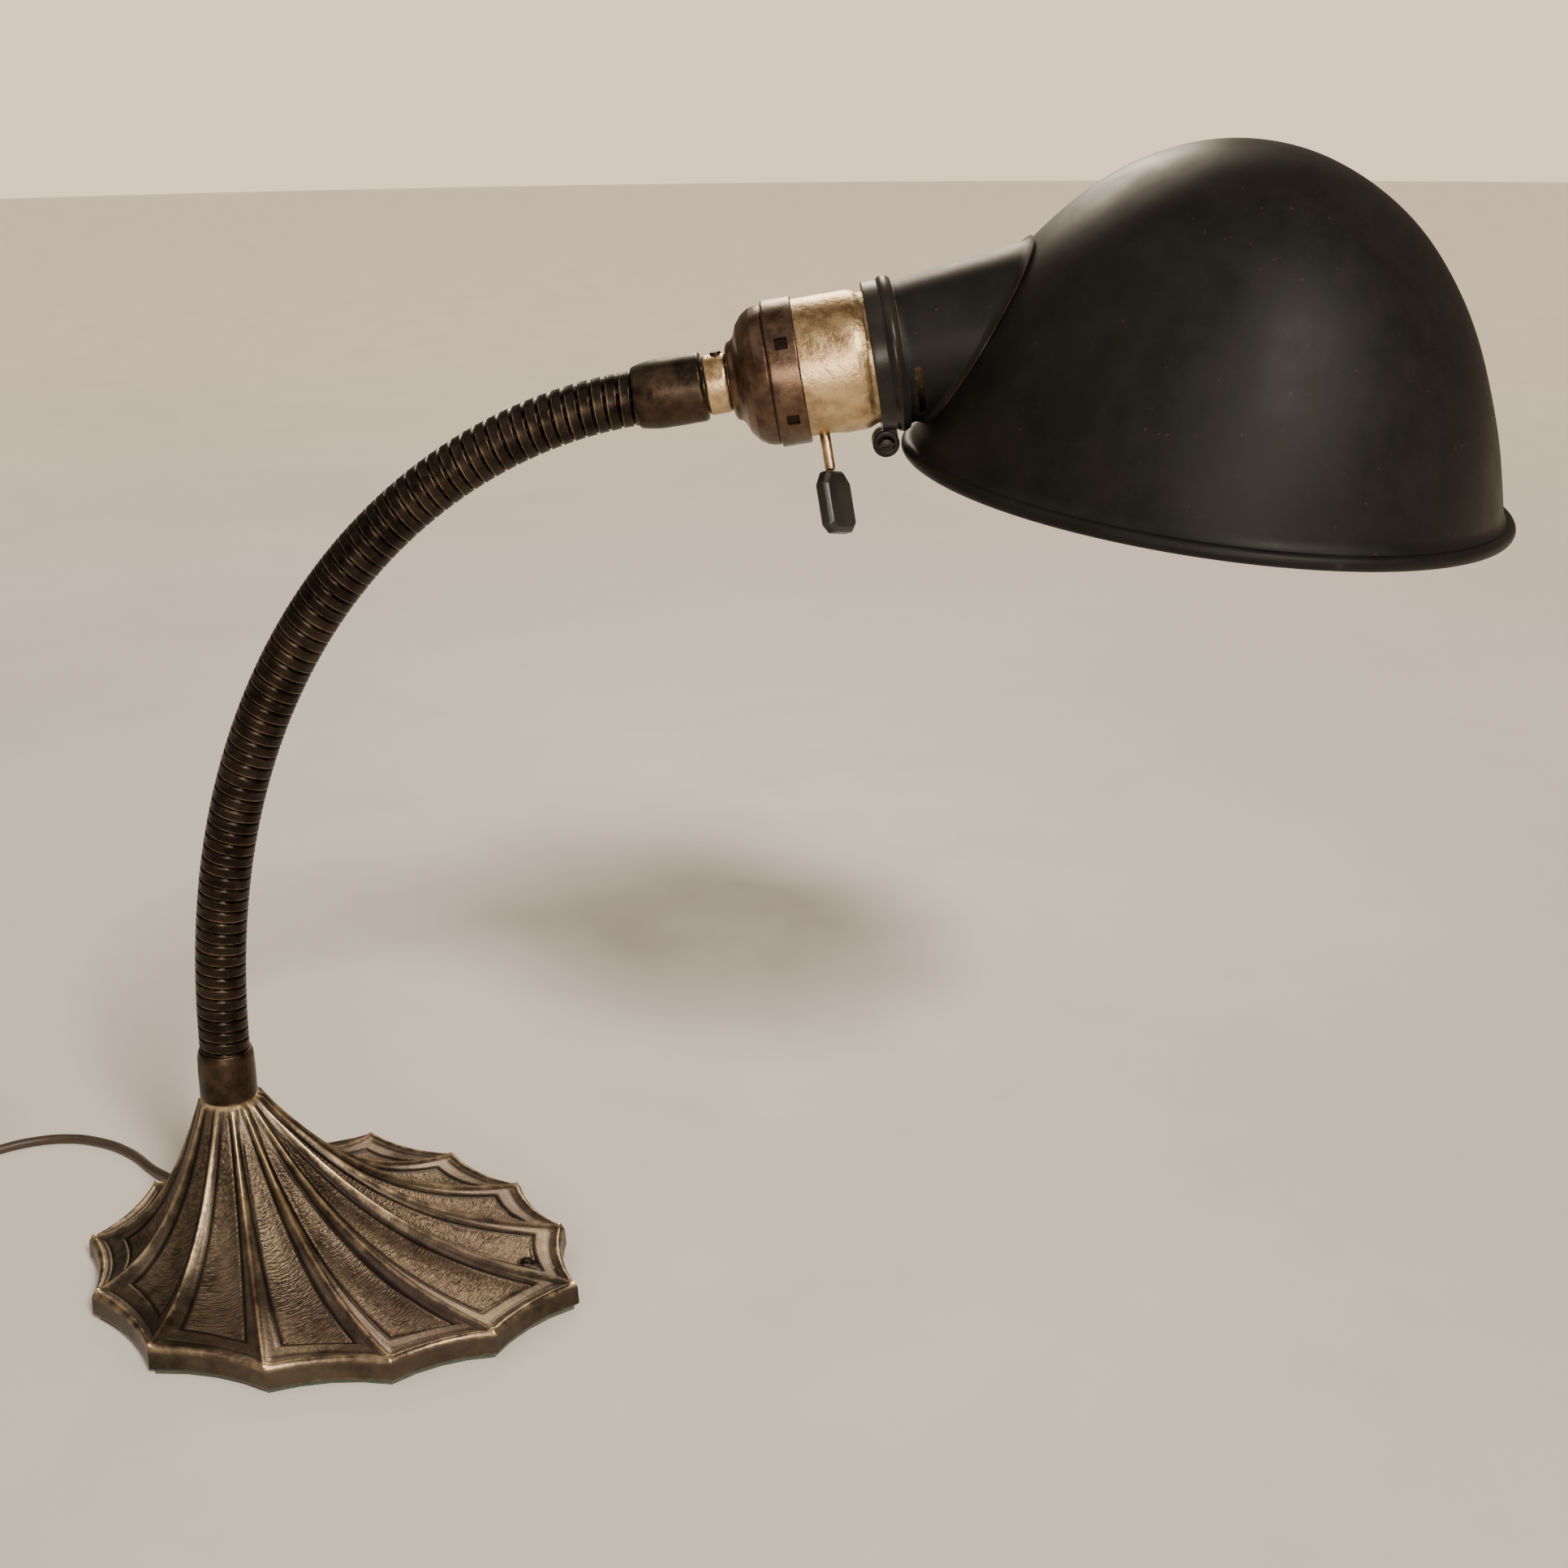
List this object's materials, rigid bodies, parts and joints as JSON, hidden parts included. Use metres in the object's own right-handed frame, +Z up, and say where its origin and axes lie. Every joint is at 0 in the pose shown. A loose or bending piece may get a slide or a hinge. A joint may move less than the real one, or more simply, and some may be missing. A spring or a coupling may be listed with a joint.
{
  "type": "gooseneck desk lamp",
  "caption": "Desk lamp with a scalloped cast base, a bendable gooseneck, a key-switch socket and a domed metal shade clamped to the socket.",
  "frame": {"origin": "on the table under the hub of the base, at the underside of the felt", "axes": "+X from the hub toward the shade in the plane the neck bends in, +Y away from the viewer, +Z up"},
  "size_m": [0.5411, 0.1655, 0.3064],
  "materials": {
    "cast_bronze": "bronze-plated casting, dark in the hollows and worn gold on the ribs",
    "bronze": "dark bronze, worn bright on the bands",
    "brass": "aged mottled brass",
    "steel": "dull plated steel",
    "shade_enamel": "matt black enamel on thin sheet",
    "clamp_enamel": "matt black enamel, worn at the edges",
    "phenolic": "black moulded phenolic",
    "fibre": "fibre board",
    "rubber": "dark rubber",
    "felt": "dark green felt",
    "cord": "dark brown round lead",
    "bulb_metal": "bulb cap",
    "bulb_glass": "frosted glass"
  },
  "bodies": {
    "base": {"base_casting": "cast_bronze", "felt_pad": "felt", "base_nipple": "steel", "lock_nut": "steel", "lock_washer": "steel", "cord_bushing": "rubber", "lower_coupling": "bronze", "neck_seg_01": "bronze", "cord_run": "cord", "cord_coil": "cord", "coil_tie": "rubber", "cord_tail": "cord", "plug_body": "phenolic", "plug_blade_a": "brass", "plug_blade_b": "brass"},
    "neck_02": {"neck_seg_02": "bronze"},
    "neck_03": {"neck_seg_03": "bronze"},
    "neck_04": {"neck_seg_04": "bronze"},
    "neck_05": {"neck_seg_05": "bronze"},
    "neck_06": {"neck_seg_06": "bronze"},
    "neck_07": {"neck_seg_07": "bronze"},
    "neck_08": {"neck_seg_08": "bronze"},
    "neck_09": {"neck_seg_09": "bronze"},
    "head": {"neck_seg_10": "bronze", "upper_coupling": "bronze", "head_nipple": "steel", "socket_bushing": "brass", "bushing_screw": "steel", "socket_cap": "brass", "socket_shell": "brass", "socket_liner": "fibre", "socket_body": "phenolic", "screw_shell": "brass", "centre_contact": "brass", "bulb_base": "bulb_metal", "bulb_glass": "bulb_glass"},
    "switch_key": {"key_stem": "brass", "key_paddle": "phenolic"},
    "shade": {"clamp_ring": "clamp_enamel", "clamp_nut": "steel", "shade_bowl": "shade_enamel", "shade_neck": "shade_enamel"},
    "clamp_bolt": {"clamp_screw": "steel"}
  },
  "joints": [
    {"name": "neck_bend_1", "type": "hinge", "parent": "base", "child": "neck_02", "pos_m": [0.00174, 0, 0.09], "axis": [0, 1, 0], "range_deg": [-5, 4]},
    {"name": "neck_swing_1", "type": "hinge", "parent": "neck_02", "child": "neck_03", "pos_m": [0.00506, 0, 0.11331], "axis": [-0.9827, 0, 0.1854], "range_deg": [-7, 7]},
    {"name": "neck_bend_2", "type": "hinge", "parent": "neck_03", "child": "neck_04", "pos_m": [0.01057, 0, 0.13619], "axis": [0, 1, 0], "range_deg": [-5, 4]},
    {"name": "neck_bend_3", "type": "hinge", "parent": "neck_04", "child": "neck_05", "pos_m": [0.01855, 0, 0.15834], "axis": [0, 1, 0], "range_deg": [-5, 4]},
    {"name": "neck_swing_2", "type": "hinge", "parent": "neck_05", "child": "neck_06", "pos_m": [0.02921, 0, 0.17932], "axis": [-0.8594, 0, 0.5114], "range_deg": [-7, 7]},
    {"name": "neck_bend_4", "type": "hinge", "parent": "neck_06", "child": "neck_07", "pos_m": [0.04266, 0, 0.19862], "axis": [0, 1, 0], "range_deg": [-5, 4]},
    {"name": "neck_bend_5", "type": "hinge", "parent": "neck_07", "child": "neck_08", "pos_m": [0.0589, 0, 0.21564], "axis": [0, 1, 0], "range_deg": [-5, 4]},
    {"name": "neck_swing_3", "type": "hinge", "parent": "neck_08", "child": "neck_09", "pos_m": [0.07776, 0, 0.2297], "axis": [-0.5242, 0, 0.8516], "range_deg": [-7, 7]},
    {"name": "neck_bend_6", "type": "hinge", "parent": "neck_09", "child": "head", "pos_m": [0.09885, 0, 0.2401], "axis": [0, 1, 0], "range_deg": [-5, 4]},
    {"name": "key_turn", "type": "hinge", "parent": "head", "child": "switch_key", "pos_m": [0.16719, 0, 0.25339], "axis": [0.145, -0.3746, -0.9158], "continuous": true},
    {"name": "shade_turn", "type": "hinge", "parent": "head", "child": "shade", "pos_m": [0.1828, 0, 0.25586], "axis": [0.9877, 0, 0.1564], "range_deg": [-40, 40]},
    {"name": "clamp_screw_turn", "type": "hinge", "parent": "shade", "child": "clamp_bolt", "pos_m": [0.18515, 0.00104, 0.23459], "axis": [0.0076, -0.9988, -0.0482], "continuous": true}
  ]
}
